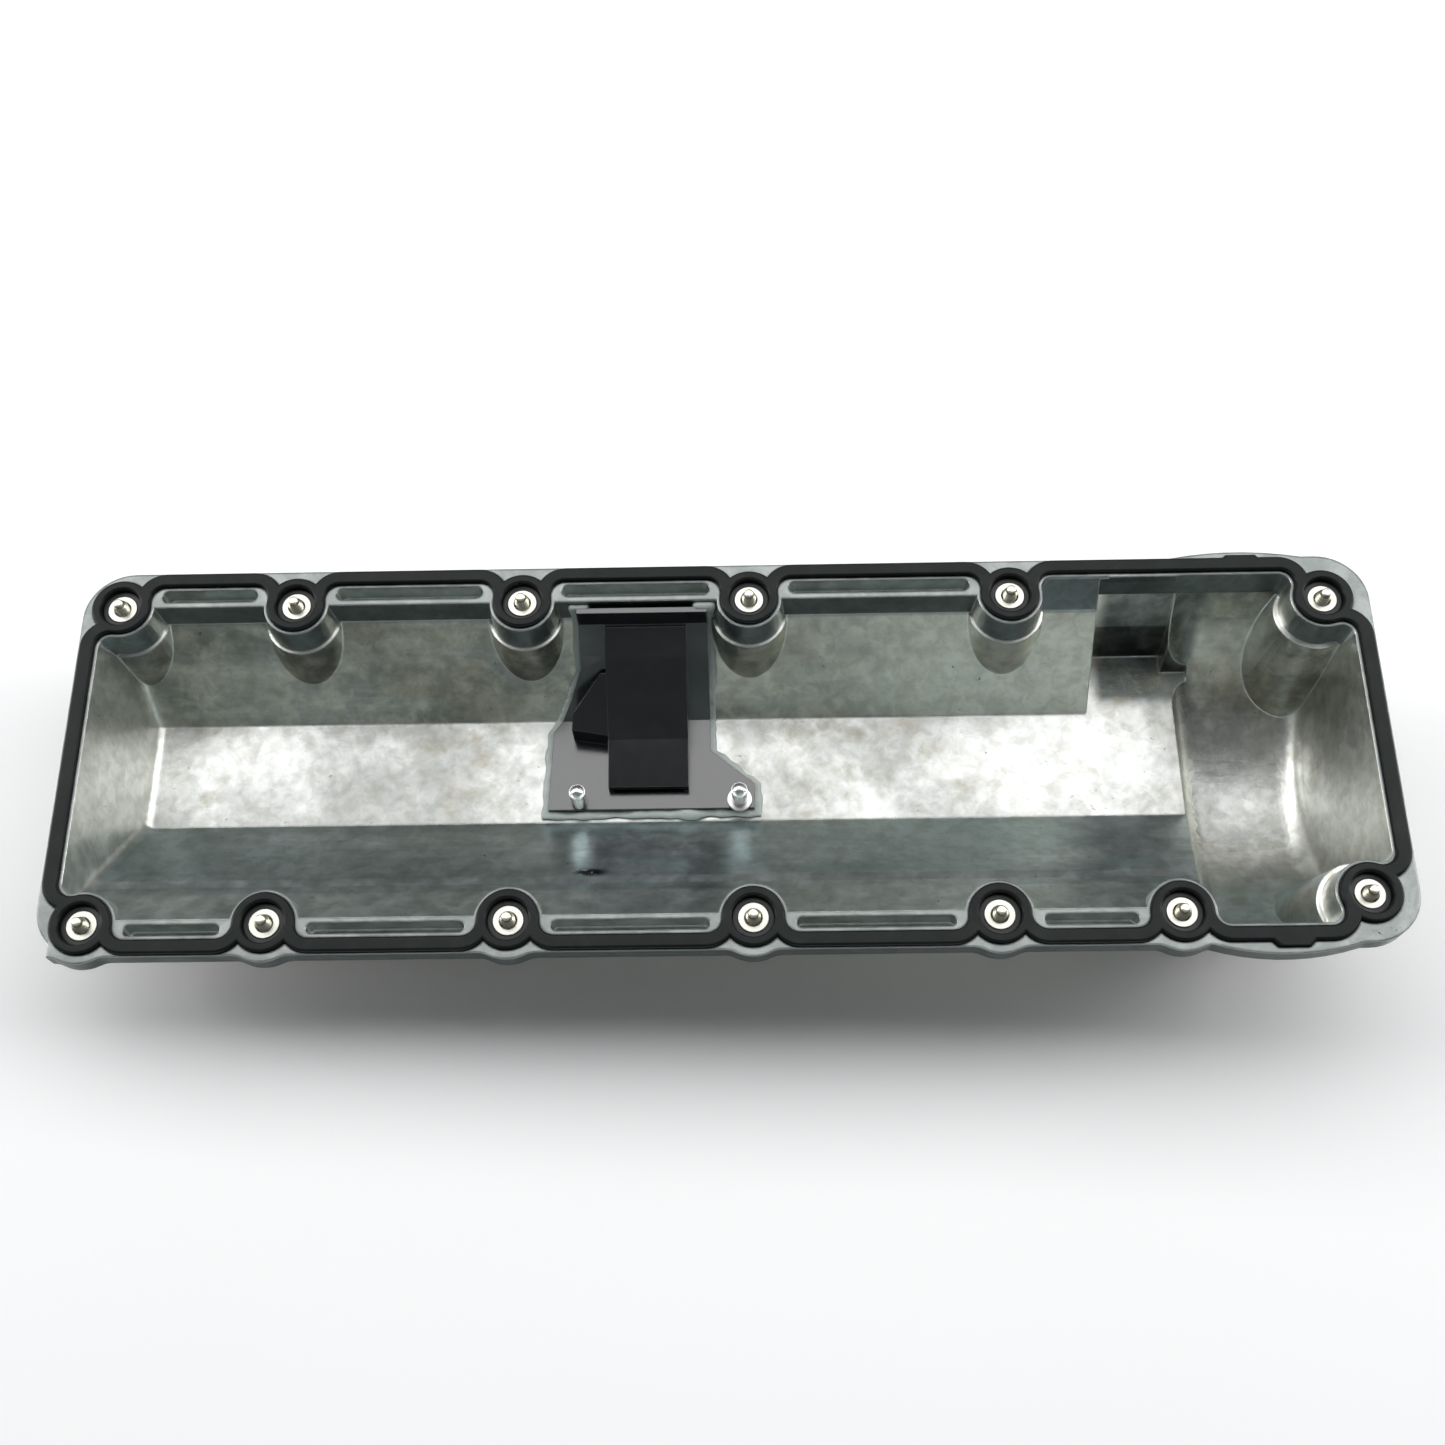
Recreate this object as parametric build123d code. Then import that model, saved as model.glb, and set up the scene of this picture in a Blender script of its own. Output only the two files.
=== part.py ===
"""Cylinder head cover (rocker cover) lying upside down on its roof, open side up.

Frame: millimetres, origin at the centre of the gasket face, +X along the cover towards its gear end, +Z out of
the open side. The flange's machined face is the plane z = 0 and the roof is below it.
"""

from build123d import *
import math
import os

os.makedirs("parts", exist_ok=True)

# ---------------------------------------------------------------- driving dimensions: flange and bolt layout
flange_width = 165.0
flange_thickness = 8.5
flange_corner_radius = 20.0
track_inset_side = 3.5        # gasket centreline in from the flange's long edges
track_inset_end = 3.7         # gasket centreline in from the flange's short edges
main_pitch = 94.0             # between the bolt columns in the middle of the cover
far_left_pitch = 72.7         # far row, corner bolt to its neighbour
near_left_pitch = 70.6        # near row, corner bolt to its neighbour
far_right_pitch = 107.6       # far row, centre bolt to the last before the gear end
near_right_pitch = 69.2       # near row, the two bolts before the gear end
gear_end_pitch = 72.1         # last near bolt to the corner bolt
left_corner_inset = 11.9      # corner bolt to the gasket centreline at the left end
right_corner_inset = 15.0     # corner bolts to the gasket centreline at the gear end
far_row_inset = 12.0          # bolt row to the gasket centreline
near_row_inset = 9.3
gear_corner_side_inset = 15.7
bump_radius = 15.5            # flange bumps round the near bolts
bump_fillet = 10.0
joint_bulge_far = 2.5         # flange bulge at the joint with the gear case
joint_bulge_near = 4.3
joint_bulge_left = 34.0       # its run to either side of the joint
joint_bulge_right = 30.0

# ---------------------------------------------------------------- gasket, its groove and the ribs beside it
bead_width = 5.8
bead_stand_proud = 2.0
groove_depth = 3.2
groove_clearance = 0.15
rib_thickness = 1.15
track_bolt_radius = 9.1       # gasket centreline round a bolt, on the cavity side
track_turn_radius = 9.0       # reverse arcs that lead into it
slot_width_far = 5.6
slot_width_near = 4.4
slot_depth = 9.0
slot_inset_far = 7.1          # slot centreline in from the gasket centreline
slot_inset_near = 6.8
slot_rib_far = 2.3            # rib between slot and cavity
slot_rib_near = 1.9
rim_band_depth = 13.0         # depth of the thick band that holds the groove and the slots
pad_half_width = 8.6          # joint pads where the head meets the gear case
pad_recess = 1.2
pad_from_gear_bolt = 31.7
pad_reach_far = 0.6           # joint pads past the flange's edge
pad_reach_near = 1.6
pad_chamfer = 2.6
pad_inner_chamfer = 1.6

# ---------------------------------------------------------------- cavity
wall = 3.5
rim_depth = 14.0
rim_draft = 1.2
rim_ledge = 0.5               # far wall's step in from the rib, at rim depth
trough_depth = 55.0
far_knee_run = 9.3            # upper part of the far wall below the rim
far_knee_drop = 13.5
far_wall_run_per_drop = 0.727
near_slope_run = 18.7
near_slope_drop = 18.5
near_step_run = 4.0
near_step_drop = 2.5
near_wall_run_per_drop = 1.029
end_wall_run_per_drop = 0.18
gear_end_run_per_drop = 0.115
dome_step_from_end = 63.0     # left side of the gear dome, at trough floor level, from the end wall
dome_step_run_per_drop = 0.2
recess_length = 33.5          # pocket in the far wall beside the dome
recess_from_dome = 4.0
recess_floor_inset = 15.0
recess_jog_inset = 23.0
recess_draft_run = 4.0
recess_draft_height = 22.0
recess_rim_inset = 0.4
end_corner_radius = 4.0       # between the left end wall and its neighbours
dome_crease_radius = 9.0      # where the dome meets its step and the end wall
floor_edge_radius = 2.0
boss_growth = 0.103           # radius gained by a bolt boss for each mm of depth
corner_boss_growth = 0.17     # the same for the two corner bosses at the gear end
rim_overlap = 0.7             # walls that reach out a little under the rim
boss_ledge = 0.85             # bosses step out this much under the rim
well_wall = 3.0               # metal left round the well of a bolt head

# ---------------------------------------------------------------- fasteners
thread_radius = 3.0
dog_radius = 1.95
dog_length = 2.5
thread_above_face = 2.6
thread_chamfer = 0.9
thread_runout_step = 0.07     # the thread inside the sleeve is rolled this much under size
shank_radius = 2.5
neck_clearance = 0.32         # shank in the sleeve's retaining neck
bore_clearance = 0.4          # thread in the sleeve
neck_top = -7.5
neck_height = 1.5
sleeve_recess = 1.0
sleeve_disc_radius = 6.0
sleeve_disc_thickness = 1.5
sleeve_tube_wall = 1.3
sleeve_bottom = -12.0
grommet_wall = 2.2
grommet_lip = 1.4
grommet_lip_thickness = 2.0
bolt_travel = 6.0
stop_gap = 0.3
washer_radius = 7.0
washer_thickness = 1.5
washer_fit = 0.06             # shank in its captive washer
washer_gap = 0.05
head_flange_radius = 6.6
head_flange_thickness = 1.3
head_across_flats = 10.0
head_height = 6.0

# ---------------------------------------------------------------- oil baffle and breather outlet
baffle_wall = 2.5
baffle_gap = 1.5              # filled with sealant
baffle_left = -75.4
baffle_right = 12.4
baffle_near_share = 0.093     # baffle's near edge, as a share of the trough floor's width from its near edge
baffle_corner_share = 0.325   # its slanted corner, measured the same way
baffle_shoulder_share = 0.656
baffle_fold_share = 0.852
baffle_bend_low = 4.0
baffle_bend_high = 13.0
baffle_wall_left = -60.2
baffle_wall_right = -6.4
baffle_top = -3.0
boss_gap = 1.6
hood_left = -49.5
hood_right = -15.5
hood_wall = 2.0
hood_clearance_low = 5.0      # hood's lower end above the trough floor plate
hood_cap_z = -13.0
hood_end_share = 0.264        # hood's lower end, as a share of the floor's width
hood_knee_share = 0.684
scoop_reach = 15.5
scoop_share = 0.285           # scoop's run over the trough floor, as a share of its width
scoop_top_z = -29.0
pin_radius = 3.4
pin_spacing = 68.0
pin_centre_x = -28.0
pin_share = 0.167             # pins, as a share of the floor's width from its near edge
pin_above_plate = 14.0
pin_seat = 2.0
ring_width = 1.8
ring_thickness = 1.4
sealant_bulge = 2.6           # squeezed out past the baffle's edge
sealant_share = 0.1           # its width under the baffle, as a share of the floor's width
spigot_radius = 8.5
spigot_bore = 6.5
spigot_overhang = 9.5         # hose seat's end past the flange's far edge
spigot_collar = 1.5           # collar's height over the tube
spigot_collar_width = 2.5
spigot_seat_step = 0.3        # the pressed-in end is this much smaller in radius than the hose seat
spigot_boss_wall = 4.0
spigot_boss_inset = 8.0       # its boss ends this far in from that edge
spigot_x = -32.5
spigot_depth = 31.0

# ---------------------------------------------------------------- places that follow from them
half_width = flange_width / 2
spigot_reach = half_width + spigot_overhang
spigot_boss_end = half_width - spigot_boss_inset
track_y = half_width - track_inset_side
far_y = track_y - far_row_inset
near_y = -track_y + near_row_inset
gear_corner_y = track_y - gear_corner_side_inset
length_on_track = (left_corner_inset + far_left_pitch + 3 * main_pitch + near_right_pitch
                   + gear_end_pitch + right_corner_inset)
track_x = length_on_track / 2
half_length = track_x + track_inset_end
first_x = -track_x + left_corner_inset
column_x = [first_x + far_left_pitch + i * main_pitch for i in range(4)]
far_x = [first_x] + column_x[:3] + [column_x[2] + far_right_pitch]
near_x = [column_x[0] - near_left_pitch] + column_x + [column_x[3] + near_right_pitch]
corner_x = track_x - right_corner_inset
bolt_places = [(x, far_y) for x in far_x] + [(corner_x, gear_corner_y)]
bolt_places += [(x, near_y) for x in near_x] + [(corner_x, -gear_corner_y)]

half_bead = bead_width / 2
cavity_offset = half_bead + groove_clearance + rib_thickness
boss_radius = track_bolt_radius + cavity_offset
far_rib_y = track_y - slot_inset_far - slot_width_far / 2 - slot_rib_far
near_rib_y = -track_y + slot_inset_near + slot_width_near / 2 + slot_rib_near
far_wall_drop = trough_depth - rim_depth - far_knee_drop
far_floor_y = far_rib_y - rim_ledge - far_knee_run - far_wall_drop * far_wall_run_per_drop
near_top_run = near_slope_run + near_step_run
near_top_drop = near_slope_drop + near_step_drop
near_floor_y = near_rib_y + near_top_run + (trough_depth - near_top_drop) * near_wall_run_per_drop
cavity_end_x = track_x - cavity_offset
dome_radius = track_y - cavity_offset + rim_overlap
dome_step_x = cavity_end_x - dome_step_from_end
recess_right_x = dome_step_x - recess_from_dome
recess_left_x = recess_right_x - recess_length
floor_width = far_floor_y - near_floor_y
hood_end_y = near_floor_y + hood_end_share * floor_width
pin_centre_y = near_floor_y + max(pin_share * floor_width, pin_radius + ring_width + 1)
pin_places = [(pin_centre_x + sign * pin_spacing / 2, pin_centre_y) for sign in (-1, 1)]
above = 5.0                   # how far a cutting shape passes the face it starts from
grommet_radius = sleeve_disc_radius + grommet_wall
sleeve_bore = thread_radius + bore_clearance
sleeve_tube_radius = sleeve_bore + sleeve_tube_wall
pad_x = corner_x - pad_from_gear_bolt
floor_z = -trough_depth


# ---------------------------------------------------------------- plain helpers
def prism(outline, low, high):
    """A closed polygon in the XY plane, extruded from z = low to z = high."""
    face = make_face(Polyline(*outline, close=True))
    return Pos(0, 0, low) * extrude(face, amount=high - low)


def along_x(outline, x0, x1):
    """A closed polygon of (y, z) points, extruded from x = x0 to x = x1."""
    face = make_face(Polyline(*[(x0, y, z) for y, z in outline], close=True))
    return extrude(face, amount=x1 - x0, dir=(1, 0, 0))


def along_y(outline, y0, y1):
    """A closed polygon of (x, z) points, extruded from y = y0 to y = y1."""
    face = make_face(Polyline(*[(x, y0, z) for x, z in outline], close=True))
    return extrude(face, amount=y1 - y0, dir=(0, 1, 0))


def block(x0, x1, y0, y1, z0, z1):
    return Pos((x0 + x1) / 2, (y0 + y1) / 2, (z0 + z1) / 2) * Box(x1 - x0, y1 - y0, z1 - z0)


def rod(x, y, radius, z0, z1):
    return Pos(x, y, z0) * Cylinder(radius, z1 - z0, align=(Align.CENTER, Align.CENTER, Align.MIN))


def taper(x, y, radius_low, radius_high, z0, z1):
    return Pos(x, y, z0) * Cone(radius_low, radius_high, z1 - z0, align=(Align.CENTER, Align.CENTER, Align.MIN))


def grown(points, distance):
    """A counter-clockwise polygon with each side moved outwards by distance."""
    count = len(points)
    result = []
    for i in range(count):
        (ax, ay), (bx, by), (cx, cy) = points[i - 1], points[i], points[(i + 1) % count]
        first = math.atan2(by - ay, bx - ax)
        second = math.atan2(cy - by, cx - bx)
        normal = (math.sin(first) + math.sin(second), -math.cos(first) - math.cos(second))
        scale = distance / (1 + math.cos(second - first))
        result.append((bx + normal[0] * scale, by + normal[1] * scale))
    return result


# ---------------------------------------------------------------- gasket track
def track_stations():
    """The bolts in counter-clockwise order, each with the travel directions before and after it."""
    right, up, left, down = (1, 0), (0, 1), (-1, 0), (0, -1)
    stations = [((near_x[0], near_y), down, right)]
    stations += [((x, near_y), right, right) for x in near_x[1:]]
    stations += [((corner_x, -gear_corner_y), right, up), ((corner_x, gear_corner_y), up, left)]
    stations += [((x, far_y), left, left) for x in reversed(far_x[1:])]
    stations += [((far_x[0], far_y), left, down)]
    return stations


def side_distance(normal):
    """How far the track's straight side lies from the origin, against its inward normal."""
    return track_y if normal[0] == 0 else track_x


def turn(bolt, travel, sign, offset):
    """One reverse arc: its centre, its end on the straight side and its end on the bolt's circle."""
    normal = (-travel[1], travel[0])
    inset = bolt[0] * normal[0] + bolt[1] * normal[1] + side_distance(normal)
    reach = track_turn_radius + track_bolt_radius
    along = math.sqrt(reach**2 - (inset - track_turn_radius) ** 2)
    centre = [bolt[i] + sign * along * travel[i] + (track_turn_radius - inset) * normal[i] for i in (0, 1)]
    small = track_turn_radius - offset
    on_side = tuple(centre[i] - small * normal[i] for i in (0, 1))
    on_bolt = tuple(centre[i] + small * (bolt[i] - centre[i]) / reach for i in (0, 1))
    return centre, on_side, on_bolt


def arc_between(centre, start, end, clockwise):
    """The arc about centre from start to end."""
    first = math.atan2(start[1] - centre[1], start[0] - centre[0])
    last = math.atan2(end[1] - centre[1], end[0] - centre[0])
    sweep = (first - last) % (2 * math.pi) if clockwise else (last - first) % (2 * math.pi)
    middle = first - sweep / 2 if clockwise else first + sweep / 2
    radius = math.dist(centre, start)
    halfway = (centre[0] + radius * math.cos(middle), centre[1] + radius * math.sin(middle))
    return ThreePointArc(start, halfway, end)


def track_face(offset):
    """The area inside the gasket track moved towards the cavity by offset."""
    edges = []
    first_point = None
    last_point = None
    for bolt, before, after in track_stations():
        centre_in, side_in, bolt_in = turn(bolt, before, -1, offset)
        centre_out, side_out, bolt_out = turn(bolt, after, 1, offset)
        if last_point is None:
            first_point = side_in
        else:
            edges.append(Line(last_point, side_in))
        edges.append(arc_between(centre_in, side_in, bolt_in, clockwise=False))
        edges.append(arc_between(bolt, bolt_in, bolt_out, clockwise=True))
        edges.append(arc_between(centre_out, bolt_out, side_out, clockwise=False))
        last_point = side_out
    edges.append(Line(last_point, first_point))
    return make_face(edges)


def track_prism(offset, low, high):
    return Pos(0, 0, low) * extrude(track_face(offset), amount=high - low)


def bead_solid(half, disc_radius, low, high):
    """The band along the track with a disc round each bolt."""
    band = track_prism(-half, low, high) - track_prism(half, low, high)
    for x, y in bolt_places:
        band += rod(x, y, disc_radius, low, high)
    return band


def pad_outline(side, grow):
    """Outline of a joint pad; side is +1 on the far flange and -1 on the near one."""
    inner = track_y - half_bead - grow
    outer = half_width + grow + (pad_reach_near if side < 0 else pad_reach_far)
    wide = pad_half_width + grow
    narrow = wide - pad_chamfer
    corners = [(-narrow, inner), (narrow, inner),
               (wide, inner + pad_inner_chamfer), (wide, outer - pad_chamfer),
               (narrow, outer), (-narrow, outer),
               (-wide, outer - pad_chamfer), (-wide, inner + pad_inner_chamfer)]
    return [(pad_x + x, side * y) for x, y in corners]


# ---------------------------------------------------------------- cavity and outer shell
def trough_outline():
    """Cross-section (y, z) of the main trough, counter-clockwise seen along -X."""
    return [(near_floor_y, floor_z), (far_floor_y, floor_z),
            (far_rib_y - rim_ledge - far_knee_run, -rim_depth - far_knee_drop),
            (far_rib_y - rim_ledge, -rim_depth), (far_rib_y, 0), (far_rib_y, above),
            (near_rib_y, above), (near_rib_y, 0),
            (near_rib_y + near_slope_run, -near_slope_drop),
            (near_rib_y + near_top_run, -near_top_drop)]


def end_taper(left_x, left_run, right_x, right_run, bottom):
    """Side view (x, z) of a space whose end walls lean in towards the bottom."""
    return [(left_x + left_run * bottom, -bottom), (right_x - right_run * bottom, -bottom),
            (right_x, 0), (right_x, above), (left_x, above), (left_x, 0)]


def trough_solid(grow):
    profile = along_x(grown(trough_outline(), grow), -track_x - above, dome_step_x + grow)
    bottom = trough_depth + above
    side = end_taper(-cavity_end_x, end_wall_run_per_drop, track_x, 0, bottom)
    body = profile & along_y(grown(side, grow), -half_width * 2, half_width * 2)
    if grow > 0:
        return body
    body = fillet([edge for edge in body.edges() if at_left_end(edge)], end_corner_radius)
    long_edges = [edge for edge in body.edges() if edge.length > trough_depth]
    return fillet([edge for edge in long_edges if edge.center().Z < floor_z + 0.1], floor_edge_radius)


def at_left_end(edge):
    """True for the edges that the left end wall makes below the flange."""
    box = edge.bounding_box()
    return edge.center().Z < -1 and box.max.X < 0 and box.size.X < box.size.Y + box.size.Z


def dome_solid(grow):
    """Half-round space over the timing gear at the right-hand end."""
    bottom = dome_radius + above
    start = dome_step_x - dome_step_run_per_drop * trough_depth
    side = end_taper(start, dome_step_run_per_drop, cavity_end_x, gear_end_run_per_drop, bottom)
    round_part = Rot(0, 90, 0) * Cylinder(dome_radius + grow, 2 * track_x)
    body = (Pos(track_x, 0, 0) * round_part) & along_y(grown(side, grow), -half_width * 2, half_width * 2)
    creases = [edge for edge in body.edges() if edge.geom_type == GeomType.ELLIPSE]
    return fillet(creases, dome_crease_radius + grow)


def recess_solid(grow):
    """Pocket in the far wall beside the dome, with a jog towards it."""
    rim_y = track_y - cavity_offset - recess_rim_inset
    pocket = []
    for left, right, inset in ((recess_left_x, recess_right_x, recess_floor_inset),
                               (recess_right_x - 2 * wall, dome_step_x + 2 * wall, recess_jog_inset)):
        floor_y = track_y - inset
        outline = [(0, floor_z), (floor_y, floor_z), (floor_y + recess_draft_run, floor_z + recess_draft_height),
                   (rim_y, -rim_depth), (rim_y, above), (0, above)]
        pocket.append(along_x(grown(outline, grow), left - grow, right + grow))
    return pocket[0] + pocket[1]


def side_openings(grow):
    """The cavity reaches out to the rib beside the gasket where the slots stop, next to the gear end."""
    rim_y = track_y - cavity_offset + rim_overlap
    knee = (far_rib_y - rim_ledge - far_knee_run, -rim_depth - far_knee_drop)
    far_part = [(0, knee[1]), knee, (rim_y, 0), (rim_y, above), (0, above)]
    slope = (near_rib_y + near_slope_run, -near_slope_drop)
    near_part = [(slope[0], slope[1]), (0, slope[1]), (0, above), (-rim_y, above), (-rim_y, 0)]
    opening = along_x(grown(far_part, grow), far_x[-1], recess_left_x + wall)
    return opening + along_x(grown(near_part, grow), near_x[-1], dome_step_x)


def rim_collar():
    """Everything outside the rib beside the gasket, from the flange face down to the rim ledge."""
    top = track_face(cavity_offset)
    low = Pos(0, 0, -rim_depth) * track_face(cavity_offset + rim_draft)
    opening = loft([low, top], ruled=True) + extrude(top, amount=above * 2)
    return block(-half_length, half_length, -half_width, half_width, -rim_depth, above) - opening


def boss_cone(x, y, grow, top_z=0):
    """A bolt boss that widens with depth, as it would start at the flange face; it's built below top_z."""
    depth = dome_radius + 2 * wall
    radius = boss_radius + grow
    growth = corner_boss_growth if x == corner_x else boss_growth
    return taper(x, y, radius + growth * depth, radius - growth * top_z, -depth, top_z)


def bolt_well(x, y):
    """Room for a bolt's head under the flange, open to the outside."""
    bottom = -dome_radius * 2
    room = boss_cone(x, y, -well_wall) & rod(x, y, boss_radius * 3, bottom, -flange_thickness)
    half = boss_radius - well_wall + boss_growth * flange_thickness
    left = x - half if x > -corner_x else -half_length - above
    right = x + half
    if x == corner_x:
        left, right = x, half_length + above
    low, high = sorted((y, math.copysign(half_width + above, y)))
    return room + block(left, right, low, high, bottom, -flange_thickness)


def flange_plate():
    outline = RectangleRounded(2 * half_length, flange_width, flange_corner_radius)
    plate = extrude(outline, amount=-flange_thickness)
    for x, y in bolt_places[6:12]:
        plate += flange_bump(x, y)
    for side, reach in ((-1, joint_bulge_near), (1, joint_bulge_far)):
        start = (pad_x - joint_bulge_left, side * (half_width - 1))
        end = (pad_x + joint_bulge_right, side * (half_width - 1))
        top = (pad_x, side * (half_width + reach))
        inner = (pad_x, side * (half_width - flange_thickness))
        bulge = make_face([ThreePointArc(start, top, end), Line(end, inner), Line(inner, start)])
        plate += extrude(bulge, amount=-flange_thickness, dir=(0, 0, 1))
    return plate


def flange_bump(x, y):
    """Round bump of the flange's edge at a near bolt, blended into it."""
    edge = -half_width
    reach = bump_radius + bump_fillet
    along = math.sqrt(reach**2 - (y - edge + bump_fillet) ** 2)
    centres = [(x - along, edge - bump_fillet), (x + along, edge - bump_fillet)]
    ends = [(c[0], edge) for c in centres]
    joins = [tuple(c[i] + bump_fillet * ((x, y)[i] - c[i]) / reach for i in (0, 1)) for c in centres]
    edges = [arc_between(centres[0], ends[0], joins[0], clockwise=True),
             arc_between((x, y), joins[0], joins[1], clockwise=False),
             arc_between(centres[1], joins[1], ends[1], clockwise=True),
             Line(ends[1], (ends[1][0], y)), Line((ends[1][0], y), (ends[0][0], y)),
             Line((ends[0][0], y), ends[0])]
    return extrude(make_face(edges), amount=-flange_thickness, dir=(0, 0, 1))


def slot_cutters():
    """Blind core pockets between the gasket groove and the inner ribs."""
    cutters = []
    rows = ((far_x, track_y - slot_inset_far, far_row_inset, slot_width_far),
            (near_x, -track_y + slot_inset_near, near_row_inset, slot_width_near))
    for row, y, inset, width in rows:
        reach = math.sqrt((track_turn_radius + track_bolt_radius) ** 2 - (inset - track_turn_radius) ** 2)
        for left, right in zip(row[:-1], row[1:]):
            length = right - left - 2 * reach + 3.0
            centre = (left + right) / 2
            shape = SlotOverall(length, width)
            cutters.append(Pos(centre, y, -slot_depth) * extrude(shape, amount=slot_depth + above))
    return cutters


def breather_boss(radius, y0, y1):
    return Pos(spigot_x, (y0 + y1) / 2, -spigot_depth) * Rot(90, 0, 0) * Cylinder(radius, y1 - y0)


def cover_casting():
    inside = trough_solid(0) + dome_solid(0) + recess_solid(0) + side_openings(0)
    outside = trough_solid(wall) + dome_solid(wall) + recess_solid(wall) + side_openings(wall)
    outside += track_prism(-0.5, -rim_band_depth, 0)
    outside += flange_plate()
    outside += breather_boss(spigot_radius + spigot_boss_wall, far_floor_y + 10, spigot_boss_end) - inside
    outside -= block(-half_length * 2, half_length * 2, -half_width * 2, half_width * 2, 0, 10 * above)
    cavity = inside - rim_collar()
    for x, y in bolt_places:
        cavity -= boss_cone(x, y, boss_ledge, -rim_depth)
    casting = outside - cavity
    for x, y in bolt_places:
        casting -= bolt_well(x, y)
        casting -= rod(x, y, grommet_radius, -flange_thickness - 1, above)
    disc = track_bolt_radius + half_bead + groove_clearance
    casting -= bead_solid(half_bead + groove_clearance, disc, -groove_depth, above)
    for cutter in slot_cutters():
        casting -= cutter
    for side in (-1, 1):
        casting -= prism(pad_outline(side, groove_clearance), -pad_recess, above)
    for x, y in pin_places:
        casting -= rod(x, y, pin_radius, floor_z - pin_seat, floor_z + pin_above_plate)
    casting -= breather_boss(spigot_radius - spigot_seat_step, far_floor_y, half_width)
    return casting


# ---------------------------------------------------------------- seals
def head_gasket():
    gasket = bead_solid(half_bead, track_bolt_radius + half_bead, -groove_depth, bead_stand_proud)
    for side in (-1, 1):
        gasket += prism(pad_outline(side, 0), -pad_recess, bead_stand_proud)
    for x, y in bolt_places:
        gasket -= rod(x, y, grommet_radius, -groove_depth - 1, bead_stand_proud + 1)
    return gasket


def grommet(x, y):
    lip_radius = grommet_radius + grommet_lip
    body = rod(x, y, grommet_radius, -flange_thickness, -sleeve_recess - 0.2)
    body += rod(x, y, lip_radius, -flange_thickness - grommet_lip_thickness, -flange_thickness)
    body -= rod(x, y, sleeve_disc_radius, -sleeve_recess - sleeve_disc_thickness, above)
    return body - rod(x, y, sleeve_tube_radius, -trough_depth, above)


# ---------------------------------------------------------------- fasteners
def sleeve(x, y):
    disc_bottom = -sleeve_recess - sleeve_disc_thickness
    body = rod(x, y, sleeve_disc_radius, disc_bottom, -sleeve_recess)
    body += rod(x, y, sleeve_tube_radius, sleeve_bottom, disc_bottom)
    neck_bottom = neck_top - neck_height
    body -= rod(x, y, sleeve_bore, neck_top, above)
    body -= rod(x, y, sleeve_bore, sleeve_bottom - above, neck_bottom)
    return body - rod(x, y, shank_radius + neck_clearance, neck_bottom - 1, neck_top + 1)


def washer(x, y):
    top = sleeve_bottom - stop_gap - bolt_travel
    body = rod(x, y, washer_radius, top - washer_thickness, top)
    return body - rod(x, y, shank_radius + washer_fit, top - washer_thickness - 1, top + 1)


def bolt(x, y):
    seat = sleeve_bottom - stop_gap - bolt_travel - washer_thickness - washer_gap
    thread_start = neck_top + stop_gap
    body = rod(x, y, head_flange_radius, seat - head_flange_thickness, seat)
    hexagon = RegularPolygon(head_across_flats / 2, 6, major_radius=False)
    body += Pos(x, y, seat - head_height) * extrude(hexagon, amount=head_height)
    body += rod(x, y, shank_radius, seat, thread_start)
    body += rod(x, y, thread_radius - thread_runout_step, thread_start, stop_gap - sleeve_recess)
    chamfer_start = thread_above_face - thread_chamfer
    body += rod(x, y, thread_radius, stop_gap - sleeve_recess, chamfer_start)
    body += taper(x, y, thread_radius, dog_radius, chamfer_start, thread_above_face)
    return body + rod(x, y, dog_radius, thread_above_face, thread_above_face + dog_length)


# ---------------------------------------------------------------- oil baffle
def lining(inner_gap, thickness):
    """A skin that follows the floor and far wall of the trough at a gap, over the baffle's length."""
    left = baffle_left - 2 * above
    right = baffle_right + 2 * above
    outer = along_x(grown(trough_outline(), -inner_gap), left, right)
    inner = along_x(grown(trough_outline(), -inner_gap - thickness), left - 1, right + 1)
    return (outer - inner) & block(left, right, near_floor_y, half_width, floor_z, baffle_top)


def baffle_outline(grow):
    """Plan view of the baffle, counter-clockwise."""
    near = near_floor_y + baffle_near_share * floor_width
    points = [(baffle_left, near), (baffle_right, near),
              (baffle_right, near_floor_y + baffle_corner_share * floor_width),
              (baffle_wall_right, near_floor_y + baffle_shoulder_share * floor_width),
              (baffle_wall_right, track_y),
              (baffle_wall_left, track_y), (baffle_wall_left - 0.8, far_floor_y + baffle_bend_high),
              (baffle_wall_left - 5.8, far_floor_y + baffle_bend_low),
              (baffle_left + 1.5, near_floor_y + baffle_fold_share * floor_width)]
    return grown(points, grow)


def clear_of_bosses(body, gap):
    for x, y in (bolt_places[2], bolt_places[3]):
        body -= boss_cone(x, y, boss_ledge + gap)
    return body


def hood_line():
    """Outer face of the hood in side view, from its top cap to its lower end."""
    return [(far_rib_y - 5.6, hood_cap_z), (far_rib_y - 17.8, hood_cap_z - 5),
            (near_floor_y + hood_knee_share * floor_width, floor_z + 14),
            (hood_end_y, floor_z + hood_clearance_low + 4),
            (hood_end_y, floor_z), (far_floor_y, floor_z), (far_rib_y, -rim_depth)]


def oil_scoop():
    """Deflector that leans against the left side of the hood."""
    left = hood_left - scoop_reach
    low = far_floor_y - scoop_share * floor_width
    plan = [(hood_left + 1, low), (left, low + 2.5), (left + 0.5, low + 9),
            (hood_left - 3, far_floor_y + 11), (hood_left + 1, far_floor_y + 11)]
    side = [(low - 3, floor_z), (far_floor_y + 13, floor_z), (far_floor_y + 13, scoop_top_z),
            (low - 3, floor_z + 13)]
    return prism(plan, floor_z, hood_cap_z) & along_x(side, left - 1, hood_left + 2)


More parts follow.
